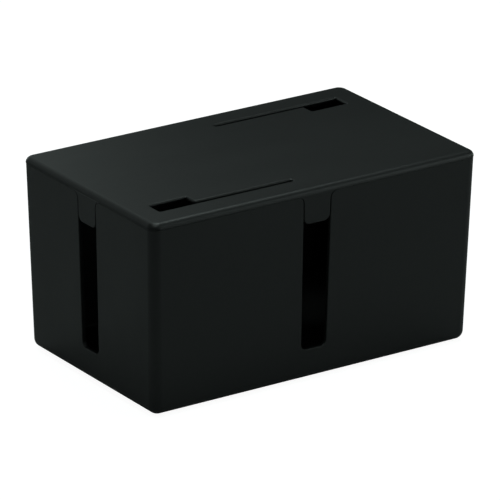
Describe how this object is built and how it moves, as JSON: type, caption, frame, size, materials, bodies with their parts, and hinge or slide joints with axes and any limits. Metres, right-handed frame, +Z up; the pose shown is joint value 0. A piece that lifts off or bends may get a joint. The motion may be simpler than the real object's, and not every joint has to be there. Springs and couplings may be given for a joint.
{
  "type": "lidded cable management box",
  "caption": "Lidded black plastic box that hides a power strip: cable slots in the front and end walls, and flag-shaped openings in the lift-off lid for charging leads.",
  "frame": {"origin": "centre of the footprint, on the surface that the rubber feet stand on", "axes": "+X along the long side, +Y towards the closed back wall, +Z up towards the lid"},
  "size_m": [0.2454, 0.1504, 0.13],
  "materials": {
    "tub_plastic": "matte moulded black with a fine even grain",
    "lid_plastic": "matte moulded black with a fine even grain",
    "foot_rubber": "soft matte rubber"
  },
  "bodies": {
    "box": {"tub": "tub_plastic", "foot_front_left": "foot_rubber", "foot_front_right": "foot_rubber", "foot_back_left": "foot_rubber", "foot_back_right": "foot_rubber"},
    "lid": {"lid": "lid_plastic"}
  },
  "joints": [
    {"name": "lid_lift", "type": "slide", "parent": "box", "child": "lid", "axis": [0, 0, 1], "range_m": [0, 0.08]}
  ]
}
